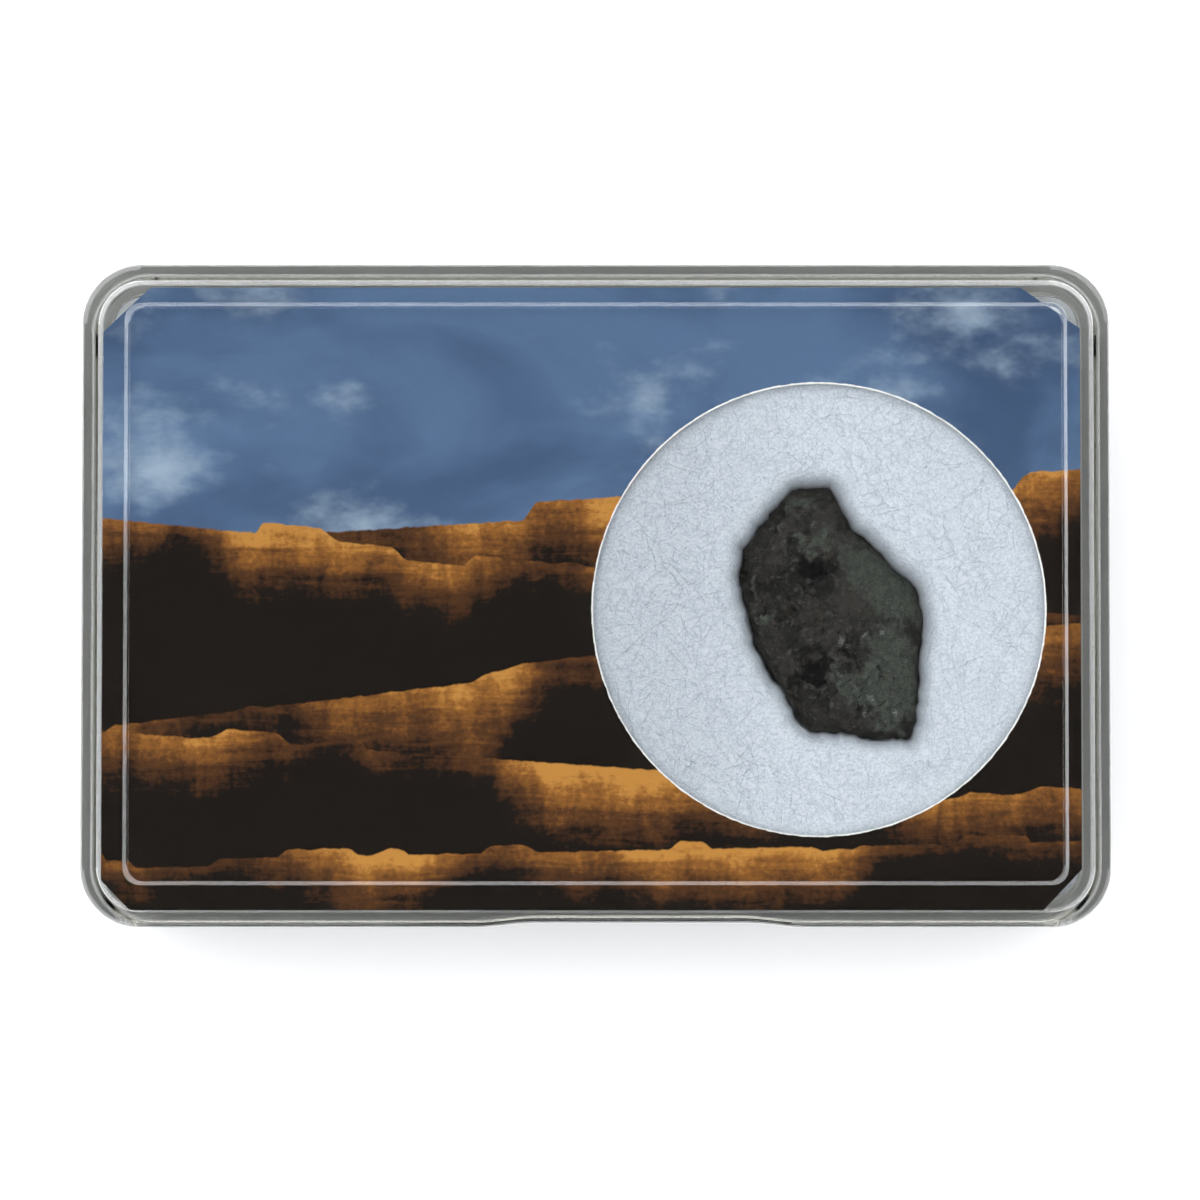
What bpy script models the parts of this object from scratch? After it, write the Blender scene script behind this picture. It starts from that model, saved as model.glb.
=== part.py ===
"""A dark chondrite fragment pressed into wadding, under a windowed card, in a clear lidded box.

The box lies flat: its long side along X, its short side along Y, and the lid up along Z.
"""

import bmesh
import bpy
from mathutils import Vector, noise

MM = 0.001

# The closed box
BOX_LENGTH = 83.0 * MM
BOX_WIDTH = 53.5 * MM
BOX_HEIGHT = 17.0 * MM
CORNER_RADIUS = 4.8 * MM
CORNER_SEGMENTS = 10
TOUCH_GAP = 0.3 * MM  # left where two pieces touch

# The lid
LID_WALL = 1.2 * MM
LID_TOP = 1.2 * MM
PANEL_RISE = 0.4 * MM  # the raised panel that the next box stands on
PANEL_INSET = 3.55 * MM
SEAM_HEIGHT = 5.0 * MM  # where the lid stands on the tray's shoulder

# The tray
TRAY_FLOOR = 1.2 * MM
RIM_WALL = 1.0 * MM
RIM_CLEARANCE = 0.2 * MM  # between the lid's wall and the tray's rim, on each side

# The thumb recess in the front wall
RECESS_OFFSET = 3.6 * MM
RECESS_HALF_WIDTH = 13.5 * MM
RECESS_RAMP = 5.0 * MM
RECESS_DEPTH = 0.38 * MM
RECESS_CUTS = 23

# The card and its round window
CARD_LENGTH = 79.2 * MM
CARD_WIDTH = 50.4 * MM
CARD_THICKNESS = 0.4 * MM
CORNER_CUTS = [  # the side in X and Y, and how far the cut runs along each edge
    (-1, 1, 3.8 * MM, 3.6 * MM),
    (1, 1, 4.8 * MM, 3.3 * MM),
    (-1, -1, 2.3 * MM, 2.4 * MM),
    (1, -1, 3.1 * MM, 3.3 * MM),
]
CARD_CENTRE = (-0.35 * MM, -0.2 * MM)
WINDOW_RADIUS = 18.3 * MM
WINDOW_CENTRE = (18.05 * MM, -1.1 * MM)

# The stone, with its points given from its own middle and its lowest point, in millimetres
STONE_CENTRE = (19.05 * MM, -1.6 * MM)
STONE_HEIGHT = 7.6
GIRDLE_HEIGHT = 5.2
GIRDLE = [
    (-7.45, 3.3),
    (-6.95, 5.35),
    (-2.6, 8.5),
    (-1.0, 9.4),
    (1.6, 6.9),
    (6.6, 2.2),
    (7.25, 0.6),
    (7.25, -1.2),
    (6.85, -5.2),
    (6.75, -8.0),
    (6.2, -10.3),
    (3.8, -9.95),
    (-0.2, -9.3),
    (-1.7, -9.3),
    (-2.9, -8.0),
    (-6.1, -2.4),
    (-6.9, 1.2),
]
CREST = [
    (-5.8, 4.4, 6.5),
    (-6.0, 1.4, 6.4),
    (-4.9, -2.4, 6.5),
    (-1.0, 5.4, 7.25),
    (0.6, 3.0, 7.55),
    (1.0, -0.6, 7.6),
    (0.8, -4.2, 7.4),
    (3.3, -6.8, 6.9),
    (5.5, -8.4, 6.1),
    (4.6, 2.0, 6.45),
    (6.1, -0.8, 6.0),
    (6.0, -4.8, 5.9),
    (-2.0, -6.8, 6.4),
    (-1.0, -8.2, 6.0),
    (3.6, -9.0, 6.0),
]
KNOB_GIRDLE = [
    (-6.7, 5.3),
    (-3.3, 10.15),
    (-0.3, 10.15),
    (0.3, 9.4),
    (1.6, 6.9),
    (0.8, 3.0),
    (-5.0, 2.0),
]
KNOB_CREST = [
    (-5.2, 5.6, 6.7),
    (-2.8, 8.9, 6.5),
    (-0.7, 8.9, 6.4),
    (0.4, 6.2, 6.9),
    (-3.0, 3.0, 7.0),
]
KEEL_SCALE = 0.6
KEEL_HEIGHT = 1.2
KNOB_KEEL_HEIGHT = 2.3
KEEL_POINT = (0.6, -1.0, 0.0)
PITS = [  # x, y, radius and depth
    (-1.3, 3.7, 1.3, 0.5),
    (-1.5, -4.2, 1.7, 0.7),
    (-2.8, -5.4, 1.0, 0.4),
    (-4.7, 3.4, 1.0, 0.3),
    (0.9, -2.0, 0.8, 0.3),
    (-3.1, 0.4, 1.0, 0.3),
    (2.5, -3.0, 1.0, 0.25),
    (-0.6, 7.2, 0.8, 0.25),
    (-5.6, 1.9, 0.8, 0.3),
]
LUMP_HEIGHT = 0.3
LUMPS_PER_MM = 0.42
LEDGES_PER_MM = 0.55
GRIT_HEIGHT = 0.16
GRIT_PER_MM = 1.3
DEEPEST_RELIEF = -0.8
SMOOTH_SIDE = (0.8, 0.35)  # the way across the stone from its rough side to its smooth one
SMOOTH_START = -2.5
SMOOTH_WIDTH = 5.0
SMOOTH_SHARE = 0.65
STONE_GRAIN = 0.25 * MM  # size of the cells that the relief is worked out on
STONE_FACES = 4500

# The pocket that the stone has pressed into the wadding, as the stone's outline made larger
POCKET_MARGIN = 1.1
DIMPLE_MARGIN = 1.22
DIMPLE_DEPTH = 1.6 * MM
BED_MARGIN = 0.72
BED_DEPTH = 0.7  # below the stone's lowest point, in millimetres
POCKET_DROP = 1.2  # from the girdle to where the pocket starts to narrow, in millimetres

# Rounded edges
OUTER_EDGE = 0.6 * MM
INNER_EDGE = 0.3 * MM
LIP_EDGE = 0.15 * MM
FOOT_FILLET = 0.12 * MM

# Heights that follow from the sizes above
LID_PLATE = BOX_HEIGHT - PANEL_RISE
CARD_TOP = LID_PLATE - LID_TOP - TOUCH_GAP
CARD_FLOOR = CARD_TOP - CARD_THICKNESS
RIM_HEIGHT = CARD_FLOOR - TOUCH_GAP
PAD_FLOOR = TRAY_FLOOR + TOUCH_GAP
PAD_HEIGHT = RIM_HEIGHT - PAD_FLOOR
RIM_INSET = LID_WALL + RIM_CLEARANCE
PAD_INSET = RIM_INSET + RIM_WALL + TOUCH_GAP
STONE_FLOOR = CARD_TOP - STONE_HEIGHT * MM - LUMP_HEIGHT * MM


def clear_scene():
    for obj in list(bpy.data.objects):
        bpy.data.objects.remove(obj, do_unlink=True)


def new_collection(name):
    collection = bpy.data.collections.new(name)
    bpy.context.scene.collection.children.link(collection)
    return collection


def new_material(name, colour, roughness, transmission=0.0, ior=1.5):
    material = bpy.data.materials.new(name)
    material.use_nodes = True
    shader = material.node_tree.nodes["Principled BSDF"]
    shader.inputs["Base Color"].default_value = (*colour, 1.0)
    shader.inputs["Roughness"].default_value = roughness
    shader.inputs["Metallic"].default_value = 0.0
    shader.inputs["Transmission Weight"].default_value = transmission
    shader.inputs["IOR"].default_value = ior
    return material


def new_object(name, bm, collection, material=None):
    mesh = bpy.data.meshes.new(name)
    bm.to_mesh(mesh)
    bm.free()
    obj = bpy.data.objects.new(name, mesh)
    collection.objects.link(obj)
    if material:
        mesh.materials.append(material)
    return obj


def new_cutter(name, bm, collection):
    cutter = new_object(name, bm, collection)
    cutter.hide_render = True
    cutter.display_type = "WIRE"
    return cutter


def shade_round(obj, sharp_angle):
    obj.data.shade_smooth()
    obj.data.set_sharp_from_angle(angle=sharp_angle)


def weight_layer(bm):
    layers = bm.edges.layers.float
    return layers.get("bevel_weight_edge") or layers.new("bevel_weight_edge")


def add_weighted_bevel(obj, segments):
    bevel = obj.modifiers.new("Rounded edges", "BEVEL")
    bevel.limit_method = "WEIGHT"
    bevel.width = OUTER_EDGE
    bevel.segments = segments
    bevel.use_clamp_overlap = True


def add_boolean(obj, other, operation):
    boolean = obj.modifiers.new(other.name, "BOOLEAN")
    boolean.operation = operation
    boolean.solver = "EXACT"
    boolean.object = other


def block(length, width, height):
    """A block standing on z = 0."""
    bm = bmesh.new()
    bmesh.ops.create_cube(bm, size=1.0)
    bmesh.ops.scale(bm, vec=(length, width, height), verts=bm.verts)
    bmesh.ops.translate(bm, vec=(0.0, 0.0, height / 2), verts=bm.verts)
    return bm


def rounded_block(length, width, height, corner_radius):
    """A block standing on z = 0, with its four upright edges rounded."""
    bm = block(length, width, height)
    upright = [
        edge
        for edge in bm.edges
        if abs(edge.verts[0].co.z - edge.verts[1].co.z) > height / 2
    ]
    bmesh.ops.bevel(
        bm,
        geom=upright,
        affect="EDGES",
        offset=corner_radius,
        segments=CORNER_SEGMENTS,
        profile=0.5,
        material=-1,
    )
    return bm


def end_face(bm, side):
    """The flat end of a block: the top one for side 1, the bottom one for side -1."""
    level = [face for face in bm.faces if abs(face.normal.z) > 0.99]
    return max(level, key=lambda face: side * face.calc_center_median().z)


def weigh_loop(bm, face, bevel_width):
    layer = weight_layer(bm)
    for edge in face.edges:
        edge[layer] = bevel_width / OUTER_EDGE


def step_face(bm, face, inset, rise, foot_bevel, edge_bevel):
    """Insets a face, lifts what is inside by rise, and marks both new loops for rounding."""
    bmesh.ops.inset_region(
        bm, faces=[face], thickness=inset, use_even_offset=True, use_boundary=True
    )
    weigh_loop(bm, face, foot_bevel)
    made = bmesh.ops.extrude_face_region(bm, geom=[face])["geom"]
    bmesh.ops.delete(bm, geom=[face], context="FACES_ONLY")
    moved = [item for item in made if isinstance(item, bmesh.types.BMVert)]
    bmesh.ops.translate(bm, vec=(0.0, 0.0, rise), verts=moved)
    lifted = next(item for item in made if isinstance(item, bmesh.types.BMFace))
    bm.normal_update()
    weigh_loop(bm, lifted, edge_bevel)
    return lifted


def recess_share(x):
    """How much of the recess's depth the front wall has at x, from 0 to 1."""
    reach = (RECESS_HALF_WIDTH - abs(x - RECESS_OFFSET)) / RECESS_RAMP
    reach = min(max(reach, 0.0), 1.0)
    return reach * reach * (3.0 - 2.0 * reach)


def press_thumb_recess(bm):
    front = -BOX_WIDTH / 2 + 0.01 * MM
    long_edges = [
        edge
        for edge in bm.edges
        if max(vert.co.y for vert in edge.verts) < front
        and abs(edge.verts[0].co.x - edge.verts[1].co.x) > RECESS_HALF_WIDTH
    ]
    bmesh.ops.subdivide_edges(
        bm, edges=long_edges, cuts=RECESS_CUTS, use_grid_fill=True
    )
    for vert in bm.verts:
        if vert.co.y < front:
            vert.co.y += RECESS_DEPTH * recess_share(vert.co.x)


def make_lid(collection, material):
    skirt_floor = SEAM_HEIGHT + TOUCH_GAP
    height = LID_PLATE - skirt_floor
    bm = rounded_block(BOX_LENGTH, BOX_WIDTH, height, CORNER_RADIUS)
    top = end_face(bm, 1)
    weigh_loop(bm, top, OUTER_EDGE)
    step_face(bm, top, PANEL_INSET, PANEL_RISE, FOOT_FILLET, INNER_EDGE)
    bottom = end_face(bm, -1)
    weigh_loop(bm, bottom, LIP_EDGE)
    step_face(bm, bottom, LID_WALL, height - LID_TOP, LIP_EDGE, INNER_EDGE)
    press_thumb_recess(bm)
    lid = new_object("lid", bm, collection, material)
    lid.location.z = skirt_floor
    add_weighted_bevel(lid, 3)
    shade_round(lid, 0.7)
    return lid


def make_base_tray(collection, material):
    bm = rounded_block(BOX_LENGTH, BOX_WIDTH, SEAM_HEIGHT, CORNER_RADIUS)
    weigh_loop(bm, end_face(bm, -1), OUTER_EDGE)
    shoulder = end_face(bm, 1)
    weigh_loop(bm, shoulder, LIP_EDGE)
    rim_rise = RIM_HEIGHT - SEAM_HEIGHT
    rim = step_face(bm, shoulder, RIM_INSET, rim_rise, FOOT_FILLET, LIP_EDGE)
    step_face(bm, rim, RIM_WALL, TRAY_FLOOR - RIM_HEIGHT, LIP_EDGE, INNER_EDGE)
    press_thumb_recess(bm)
    tray = new_object("base_tray", bm, collection, material)
    add_weighted_bevel(tray, 2)
    shade_round(tray, 0.7)
    return tray


def cut_corner(bm, side_x, side_y, along_x, along_y):
    """Clips one corner of the card straight across, as scissors would."""
    start = (side_x * (CARD_LENGTH / 2 - along_x), side_y * CARD_WIDTH / 2, 0.0)
    outward = Vector((side_x * along_y, side_y * along_x, 0.0)).normalized()
    cut = bmesh.ops.bisect_plane(
        bm,
        geom=bm.verts[:] + bm.edges[:] + bm.faces[:],
        plane_co=start,
        plane_no=outward,
        clear_outer=True,
    )
    loop = [item for item in cut["geom_cut"] if isinstance(item, bmesh.types.BMEdge)]
    bmesh.ops.edgeloop_fill(bm, edges=loop)
    bmesh.ops.recalc_face_normals(bm, faces=bm.faces)


def make_label_card(collection, cutters, material):
    bm = block(CARD_LENGTH, CARD_WIDTH, CARD_THICKNESS)
    for side_x, side_y, along_x, along_y in CORNER_CUTS:
        cut_corner(bm, side_x, side_y, along_x, along_y)
    card = new_object("label_card", bm, collection, material)
    card.location = (*CARD_CENTRE, CARD_FLOOR)
    shade_round(card, 0.7)
    bm = bmesh.new()
    bmesh.ops.create_cone(
        bm,
        cap_ends=True,
        segments=96,
        radius1=WINDOW_RADIUS,
        radius2=WINDOW_RADIUS,
        depth=4 * CARD_THICKNESS,
    )
    window = new_cutter("card_window", bm, cutters)
    window.location = (*WINDOW_CENTRE, CARD_FLOOR)
    add_boolean(card, window, "DIFFERENCE")
    return card


def hull_of(points):
    """The convex hull of points given in millimetres."""
    bm = bmesh.new()
    for point in points:
        bm.verts.new(Vector(point) * MM)
    made = bmesh.ops.convex_hull(bm, input=bm.verts, use_existing_faces=False)
    loose = {
        vert
        for vert in made["geom_interior"] + made["geom_unused"]
        if isinstance(vert, bmesh.types.BMVert)
    }
    bmesh.ops.delete(bm, geom=list(loose), context="VERTS")
    bmesh.ops.recalc_face_normals(bm, faces=bm.faces)
    return bm


def ring(outline, scale, height):
    return [(x * scale, y * scale, height) for x, y in outline]


def evaluated_bmesh(obj):
    graph = bpy.context.evaluated_depsgraph_get()
    mesh = bpy.data.meshes.new_from_object(obj.evaluated_get(graph))
    bm = bmesh.new()
    bm.from_mesh(mesh)
    bpy.data.meshes.remove(mesh)
    return bm


def roughness_at(point):
    """1 on the rough broken face at the left, less on the smoother faces at the right."""
    across = point.x * SMOOTH_SIDE[0] + point.y * SMOOTH_SIDE[1]
    share = min(max((across - SMOOTH_START) / SMOOTH_WIDTH, 0.0), 1.0)
    return 1.0 - SMOOTH_SHARE * share


def pit_depth(point):
    depth = 0.0
    for x, y, radius, deepest in PITS:
        away = ((point.x - x) ** 2 + (point.y - y) ** 2) ** 0.5 / radius
        if away < 1.0 and point.z > GIRDLE_HEIGHT:
            depth = max(depth, deepest * (1.0 - away * away) ** 2)
    return depth


def surface_relief(point):
    """How far the broken surface stands out of its facet at a point, in millimetres."""
    lumps = noise.fractal(point * LUMPS_PER_MM, 0.9, 2.1, 3)
    near, far = noise.voronoi(point * LEDGES_PER_MM)[0][:2]
    ledges = min((far - near) * 1.6, 0.5) - 0.25
    grit = noise.fractal(point * GRIT_PER_MM, 0.7, 2.2, 3)
    rough = roughness_at(point)
    height = LUMP_HEIGHT * (0.6 * lumps + 0.7 * ledges * rough)
    return height + GRIT_HEIGHT * grit * rough - pit_depth(point)


def roughen(bm):
    bm.normal_update()
    raised = []
    for vert in bm.verts:
        relief = surface_relief(vert.co / MM)
        relief = min(max(relief, DEEPEST_RELIEF), LUMP_HEIGHT)
        raised.append(vert.co + vert.normal * relief * MM)
    for vert, place in zip(bm.verts, raised):
        vert.co = place


def make_meteorite(collection, cutters, material):
    body = ring(GIRDLE, 1.0, GIRDLE_HEIGHT) + CREST
    body += ring(GIRDLE, KEEL_SCALE, KEEL_HEIGHT) + [KEEL_POINT]
    main_block = new_cutter("stone_body", hull_of(body), cutters)
    knob = ring(KNOB_GIRDLE, 1.0, GIRDLE_HEIGHT) + KNOB_CREST
    knob += ring(KNOB_GIRDLE, KEEL_SCALE, KNOB_KEEL_HEIGHT)
    knob_block = new_cutter("stone_knob", hull_of(knob), cutters)
    add_boolean(main_block, knob_block, "UNION")
    remesh = main_block.modifiers.new("Even cells", "REMESH")
    remesh.mode = "VOXEL"
    remesh.voxel_size = STONE_GRAIN
    bm = evaluated_bmesh(main_block)
    roughen(bm)
    bmesh.ops.triangulate(bm, faces=bm.faces)
    fine_faces = len(bm.faces)
    stone = new_object("meteorite", bm, collection, material)
    stone.location = (*STONE_CENTRE, STONE_FLOOR)
    decimate = stone.modifiers.new("Fewer faces", "DECIMATE")
    decimate.ratio = STONE_FACES / fine_faces
    shade_round(stone, 0.5)
    return stone


def make_wadding_pad(collection, cutters, material):
    bm = rounded_block(
        BOX_LENGTH - 2 * PAD_INSET,
        BOX_WIDTH - 2 * PAD_INSET,
        PAD_HEIGHT,
        CORNER_RADIUS - PAD_INSET,
    )
    weigh_loop(bm, end_face(bm, 1), OUTER_EDGE)
    weigh_loop(bm, end_face(bm, -1), OUTER_EDGE)
    pad = new_object("wadding_pad", bm, collection, material)
    pad.location.z = PAD_FLOOR
    add_weighted_bevel(pad, 3)
    outline = GIRDLE + KNOB_GIRDLE
    above_pad = (RIM_HEIGHT + TOUCH_GAP - STONE_FLOOR) / MM
    dimple_floor = (RIM_HEIGHT - DIMPLE_DEPTH - STONE_FLOOR) / MM
    bed = (
        ring(outline, BED_MARGIN, -BED_DEPTH)
        + ring(outline, POCKET_MARGIN, GIRDLE_HEIGHT - POCKET_DROP)
        + ring(outline, POCKET_MARGIN, dimple_floor)
        + ring(outline, DIMPLE_MARGIN, above_pad)
    )
    pocket = new_cutter("stone_pocket", hull_of(bed), cutters)
    pocket.location = (*STONE_CENTRE, STONE_FLOOR)
    add_boolean(pad, pocket, "DIFFERENCE")
    shade_round(pad, 0.7)
    return pad


def main():
    clear_scene()
    parts = new_collection("boxed_meteorite")
    cutters = new_collection("cutters")
    cutters.hide_render = True
    plastic = new_material("clear_plastic", (0.93, 0.95, 0.95), 0.06, 1.0, 1.59)
    print_finish = new_material("printed_card", (0.16, 0.13, 0.11), 0.45)
    wadding = new_material("white_wadding", (0.72, 0.76, 0.82), 0.95)
    stone_finish = new_material("dark_stone", (0.042, 0.04, 0.037), 0.7)
    make_base_tray(parts, plastic)
    make_wadding_pad(parts, cutters, wadding)
    make_meteorite(parts, cutters, stone_finish)
    make_label_card(parts, cutters, print_finish)
    make_lid(parts, plastic)


main()
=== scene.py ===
# Boxed meteorite: the looks of the clear box, its printed card, the wadding and the stone.
import math
import random

import bmesh
import bpy
from mathutils import Matrix, Vector, noise
from mathutils.bvhtree import BVHTree


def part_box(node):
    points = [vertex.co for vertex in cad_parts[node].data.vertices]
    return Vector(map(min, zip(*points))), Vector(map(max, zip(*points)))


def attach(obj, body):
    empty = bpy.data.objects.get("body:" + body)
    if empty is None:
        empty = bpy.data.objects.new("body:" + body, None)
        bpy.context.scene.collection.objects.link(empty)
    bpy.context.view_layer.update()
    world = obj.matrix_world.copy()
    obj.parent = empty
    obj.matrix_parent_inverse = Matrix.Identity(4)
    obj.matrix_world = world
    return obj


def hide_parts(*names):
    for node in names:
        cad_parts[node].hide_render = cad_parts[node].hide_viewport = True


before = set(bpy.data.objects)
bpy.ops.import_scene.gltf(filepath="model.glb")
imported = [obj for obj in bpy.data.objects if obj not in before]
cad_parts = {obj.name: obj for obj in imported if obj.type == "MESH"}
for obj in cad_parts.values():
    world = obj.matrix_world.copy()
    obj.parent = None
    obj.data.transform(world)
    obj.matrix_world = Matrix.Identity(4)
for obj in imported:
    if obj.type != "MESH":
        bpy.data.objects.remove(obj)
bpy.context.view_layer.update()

mm = 0.001
scene = bpy.context.scene
scene.view_settings.view_transform = "Standard"
# light passes many clear faces, so it is followed further than usual
scene.cycles.max_bounces = 16
scene.cycles.glossy_bounces = 16
scene.cycles.transmission_bounces = 16
print("frame loaded:", ", ".join(sorted(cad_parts)))


# one output of a node; arithmetic on it adds Math nodes
class Wire:
    def __init__(self, tree, socket=None):
        self.tree = tree
        self.socket = socket

    # any node: its settings go in first, then the values or links of its inputs
    def node(self, kind, settings=None, values=None, output=0):
        made = self.tree.nodes.new("ShaderNode" + kind)
        for name, value in (settings or {}).items():
            if name == "stops":
                fillRamp(made.color_ramp, value)
            else:
                setattr(made, name, value)
        for name, value in (values or {}).items():
            target = made.inputs[name]
            if isinstance(value, Wire):
                self.tree.links.new(value.socket, target)
            elif target.type == "RGBA" and len(value) == 3:
                target.default_value = (*value, 1.0)
            else:
                target.default_value = value
        return Wire(self.tree, made.outputs[output] if made.outputs else None)

    def math(self, operation, *others):
        values = dict(enumerate((self, *others)))
        return self.node("Math", {"operation": operation}, values)

    def __add__(self, other):
        return self.math("ADD", other)

    def __sub__(self, other):
        return self.math("SUBTRACT", other)

    def __rsub__(self, other):
        return self.math("MULTIPLY_ADD", -1.0, other)

    def __mul__(self, other):
        return self.math("MULTIPLY", other)

    def __truediv__(self, other):
        return self.math("DIVIDE", other)

    def __pow__(self, other):
        return self.math("POWER", other)

    __radd__ = __add__
    __rmul__ = __mul__

    # 0 up to low, 1 from high on, and smooth between
    def fade(self, low, high):
        return self.node(
            "MapRange", {"interpolation_type": "SMOOTHSTEP"}, {"Value": self, 1: low, 2: high}
        )

    # the first colour where this is 0 and the second where it is 1
    def between(self, first, second):
        return self.node("Mix", {"data_type": "RGBA"}, {0: self, 6: first, 7: second}, 2)

    # this vector times a number or by three numbers
    def stretched(self, x, y, z):
        return self.node("VectorMath", {"operation": "MULTIPLY"}, {0: self, 1: (x, y, z)})

    def scaled(self, share):
        return self.node("VectorMath", {"operation": "SCALE"}, {0: self, "Scale": share})

    def shifted(self, x, y, z):
        return self.node("VectorMath", {"operation": "ADD"}, {0: self, 1: (x, y, z)})

    def part(self, axis):
        return self.node("SeparateXYZ", {}, {0: self}, axis)

    def noise(self, scale, detail=3.0, roughness=0.55, distortion=0.0):
        return self.node(
            "TexNoise",
            {},
            {
                "Vector": self,
                "Scale": scale,
                "Detail": detail,
                "Roughness": roughness,
                "Distortion": distortion,
            },
        )


def fillRamp(ramp, stops):
    while len(ramp.elements) < len(stops):
        ramp.elements.new(1.0)
    for element, (position, colour) in zip(ramp.elements, stops):
        element.position = position
        element.color = (*colour, 1.0)


# a bare material, a wire to start from, and the place on the object in millimetres
def newMaterial(name):
    material = bpy.data.materials.new(name)
    material.use_nodes = True
    material.node_tree.nodes.clear()
    start = Wire(material.node_tree)
    place = start.node("TexCoord", output="Object").stretched(1000.0, 1000.0, 1000.0)
    return material, start, place


def closeMaterial(start, values, volume=None):
    ends = {"Surface": start.node("BsdfPrincipled", {}, values)}
    if volume:
        ends["Volume"] = volume
    start.node("OutputMaterial", {}, ends)


def dress(piece, material):
    piece.data.materials.clear()
    piece.data.materials.append(material)


def newPiece(name, bm):
    mesh = bpy.data.meshes.new(name)
    bm.to_mesh(mesh)
    bm.free()
    piece = bpy.data.objects.new(name, mesh)
    scene.collection.objects.link(piece)
    return piece


# the mesh that an object has after its modifiers, as a bmesh
def finishedMesh(piece):
    graph = bpy.context.evaluated_depsgraph_get()
    mesh = bpy.data.meshes.new_from_object(piece.evaluated_get(graph))
    bm = bmesh.new()
    bm.from_mesh(mesh)
    bpy.data.meshes.remove(mesh)
    return bm


def removePiece(piece):
    mesh = piece.data
    bpy.data.objects.remove(piece)
    bpy.data.meshes.remove(mesh)


def smoothstep(low, high, value):
    share = min(max((value - low) / (high - low), 0.0), 1.0)
    return share * share * (3.0 - 2.0 * share)


# The camera looks straight down on the lid, a little from its front side
camera = {
    "target": (0.34 * mm, -0.41 * mm, 17.0 * mm),
    "distance": 350.0 * mm,
    "tilt": math.radians(2.2),
    "lens": 130.3,
}


def makeCamera():
    data = bpy.data.cameras.new("camera")
    data.lens = camera["lens"]
    data.clip_start = 0.01
    made = bpy.data.objects.new("camera", data)
    scene.collection.objects.link(made)
    back = Vector((0.0, -math.sin(camera["tilt"]), math.cos(camera["tilt"])))
    made.location = Vector(camera["target"]) + back * camera["distance"]
    made.rotation_euler = (camera["tilt"], 0.0, 0.0)
    scene.camera = made


makeCamera()
print("camera set")


# Clear polystyrene: the lid and the tray
plastic = {
    "tint": (0.99, 0.993, 0.986),
    "roughness": 0.0,
    "ior": 1.59,
    "absorbed": (0.80, 0.80, 0.76),
    "density": 40.0,
}


def makeClearPlastic():
    material, start, _ = newMaterial("clear_polystyrene")
    absorption = start.node(
        "VolumeAbsorption", {}, {"Color": plastic["absorbed"], "Density": plastic["density"]}
    )
    closeMaterial(
        start,
        {
            "Base Color": plastic["tint"],
            "Roughness": plastic["roughness"],
            "Transmission Weight": 1.0,
            "IOR": plastic["ior"],
        },
        absorption,
    )
    return material


clearPlastic = makeClearPlastic()

box = {
    "cornerRadius": 4.8 * mm,
    "cornerSegments": 28,
    "edgeSegments": 5,
    "outerEdge": 0.6 * mm,
    "panelEdge": 0.3 * mm,
    "innerEdge": 0.08 * mm,
    "lipEdge": 0.15 * mm,
    "footFillet": 0.12 * mm,
    "hold": 0.05 * mm,
    "lidWall": 1.2 * mm,
    "lidTop": 1.2 * mm,
    "panelRise": 0.4 * mm,
    "panelInset": 3.42 * mm,
    "panelTaper": 0.24 * mm,
    "panelBack": 0.33 * mm,  # the panel reaches a little nearer the back edge
    "panelLoops": 1.0 * mm,  # its loops lie at most this far outside its inset
    "near": 0.01 * mm,  # how near a face's height or side a corner counts as on it
    "merge": 0.0001 * mm,
    "rimInset": 1.4 * mm,
    "rimWall": 1.0 * mm,
    "trayFloor": 1.2 * mm,
    "shoulderDrop": 0.3 * mm,  # from the lid's lip down to the tray's shoulder
    "recessOffset": 3.6 * mm,
    "recessHalfWidth": 13.5 * mm,
    "recessRamp": 5.0 * mm,
    "recessDepth": 0.38 * mm,
    "recessCuts": 71,
}


def roundedBlock(length, width, height, cornerRadius, segments):
    bm = bmesh.new()
    bmesh.ops.create_cube(bm, size=1.0)
    bmesh.ops.scale(bm, vec=(length, width, height), verts=bm.verts)
    bmesh.ops.translate(bm, vec=(0.0, 0.0, height / 2), verts=bm.verts)
    upright = [
        edge
        for edge in bm.edges
        if abs(edge.verts[0].co.z - edge.verts[1].co.z) > height / 2
    ]
    bmesh.ops.bevel(
        bm,
        geom=upright,
        affect="EDGES",
        offset=cornerRadius,
        segments=segments,
        profile=0.5,
        material=-1,
    )
    return bm


def endFace(bm, side):
    level = [face for face in bm.faces if abs(face.normal.z) > 0.99]
    return max(level, key=lambda face: side * face.calc_center_median().z)


def markLoop(bm, face, width):
    layers = bm.edges.layers.float
    layer = layers.get("bevel_weight_edge") or layers.new("bevel_weight_edge")
    for edge in face.edges:
        edge[layer] = width / box["outerEdge"]


def insetFace(bm, face, thickness):
    bmesh.ops.inset_region(
        bm, faces=[face], thickness=thickness, use_even_offset=True, use_boundary=True
    )


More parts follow.
